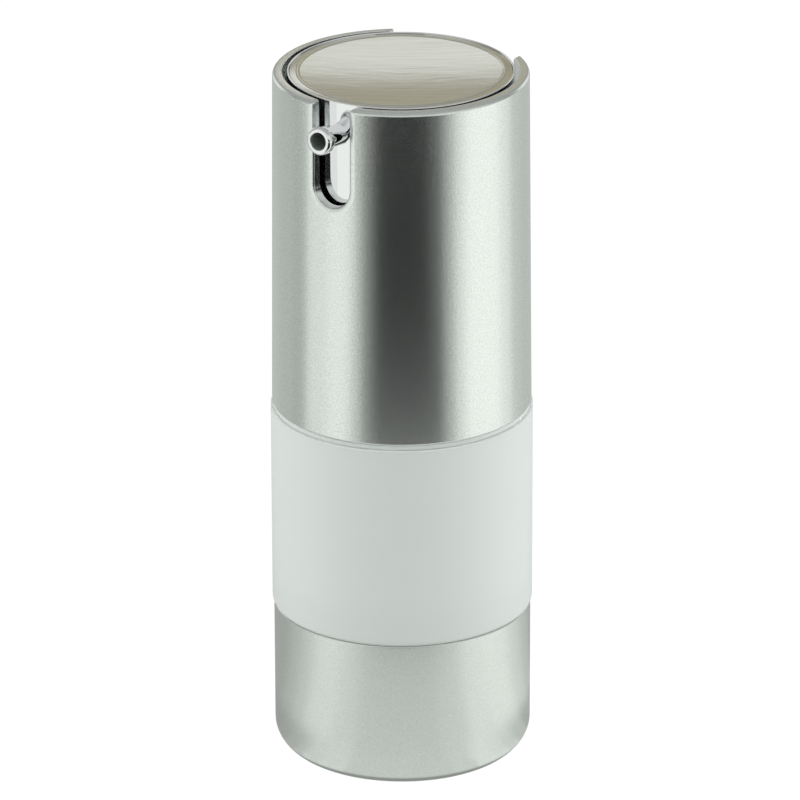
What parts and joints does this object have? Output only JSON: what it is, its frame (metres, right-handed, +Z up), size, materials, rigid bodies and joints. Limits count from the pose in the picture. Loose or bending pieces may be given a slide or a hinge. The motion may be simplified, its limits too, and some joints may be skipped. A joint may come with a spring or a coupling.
{
  "type": "airless pump bottle",
  "caption": "Cylindrical airless pump bottle with a pressed button inside a turning silver sleeve, a side nozzle in a slot, a frosted jacket and a follower piston.",
  "frame": {"origin": "centre of the resting face under the base cup", "axes": "+Z up along the bottle's axis, nozzle towards -Y, finger notch towards +Y"},
  "size_m": [0.0364, 0.0389, 0.1],
  "materials": {
    "silver_base": "satin silver lacquer",
    "silver_sleeve": "satin silver metallic lacquer",
    "frosted_clear": "frosted translucent",
    "white_polypropylene": "natural moulded",
    "soft_white_polyethylene": "waxy moulded",
    "seal_rubber": "matte",
    "glass_ball": "polished",
    "spring_steel": "drawn wire",
    "chromed_plastic": "mirror chrome plating on moulded plastic",
    "brushed_aluminium": "fine linear brushing, champagne tone"
  },
  "bodies": {
    "bottle": {"base_cup": "silver_base", "frosted_jacket": "frosted_clear", "inner_cup": "white_polypropylene", "inner_plug": "white_polypropylene", "closure_ring": "white_polypropylene", "neck_gasket": "seal_rubber", "pump_housing": "white_polypropylene", "inlet_seat": "white_polypropylene", "ball_cage": "white_polypropylene", "stem_guide": "white_polypropylene"},
    "head": {"outer_sleeve": "silver_sleeve", "liner_ring": "white_polypropylene", "return_spring": "spring_steel"},
    "button": {"button_core": "white_polypropylene", "button_cup": "chromed_plastic", "brushed_disc": "brushed_aluminium", "nozzle": "chromed_plastic", "stem": "white_polypropylene", "stem_plunger": "white_polypropylene"},
    "pump_seal": {"pump_piston": "soft_white_polyethylene"},
    "inlet_valve": {"inlet_ball": "glass_ball"},
    "follower": {"follower_piston": "soft_white_polyethylene"}
  },
  "joints": [
    {"name": "sleeve_turn", "type": "hinge", "parent": "bottle", "child": "head", "pos_m": [0, 0, 0.05], "axis": [0, 0, 1], "range_deg": [0, 90]},
    {"name": "button_press", "type": "slide", "parent": "head", "child": "button", "axis": [0, 0, -1], "range_m": [0, 0.006], "stiffness_N_per_m": 700, "springref_m": -0.002, "deforming": ["return_spring"]},
    {"name": "seal_shift", "type": "slide", "parent": "button", "child": "pump_seal", "axis": [0, 0, 1], "range_m": [0, 0.0007]},
    {"name": "ball_lift", "type": "slide", "parent": "bottle", "child": "inlet_valve", "axis": [0, 0, 1], "range_m": [0, 0.0014]},
    {"name": "follower_rise", "type": "slide", "parent": "bottle", "child": "follower", "axis": [0, 0, 1], "range_m": [0, 0.04]}
  ]
}
